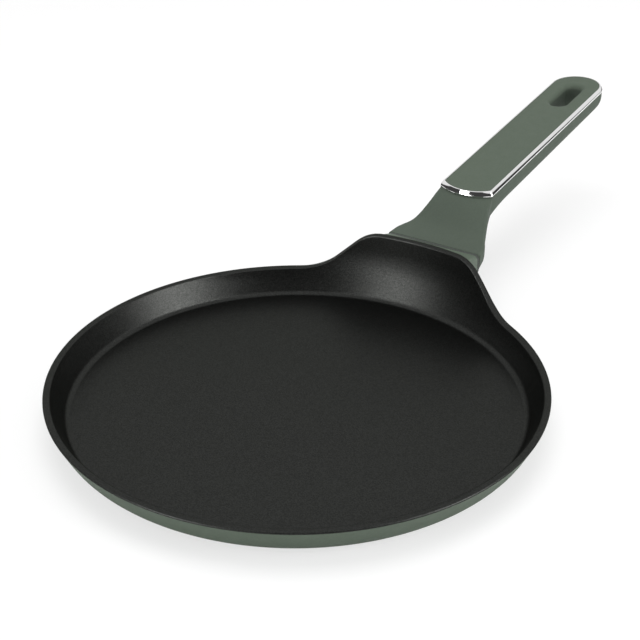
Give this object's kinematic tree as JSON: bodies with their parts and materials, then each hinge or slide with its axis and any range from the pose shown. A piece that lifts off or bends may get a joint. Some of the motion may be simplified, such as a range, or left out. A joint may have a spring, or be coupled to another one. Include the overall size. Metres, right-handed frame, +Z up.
{
  "type": "crepe pan",
  "caption": "Low crepe pan with a flaring rim, raised lip at the handle, magnetic base plate and a rising handle with a hanging slot.",
  "frame": {"origin": "centre of the round pan on the plane that it stands on", "axes": "+X from the pan's centre along the handle, +Z up, +Y completes a right-handed frame; the XZ plane is the mirror plane"},
  "size_m": [0.4686, 0.24, 0.0749],
  "materials": {
    "cast_aluminium": "cast and turned",
    "nonstick_black": "satin non-stick coat with fine specks",
    "exterior_green": "matt baked coat",
    "base_steel": "stamped",
    "gasket_grey": "matt",
    "handle_green": "fine moulded grain, soft touch",
    "frame_chrome": "polished",
    "panel_green": "fine moulded grain, soft touch",
    "screw_steel": "plain"
  },
  "bodies": {
    "root": {"pan_body": "cast_aluminium", "nonstick_coating": "nonstick_black", "exterior_coating": "exterior_green", "induction_disc": "base_steel", "handle_gasket": "gasket_grey", "handle_body": "handle_green", "handle_frame": "frame_chrome", "handle_panel": "panel_green", "handle_screws": "screw_steel", "panel_screws": "screw_steel"}
  },
  "joints": []
}
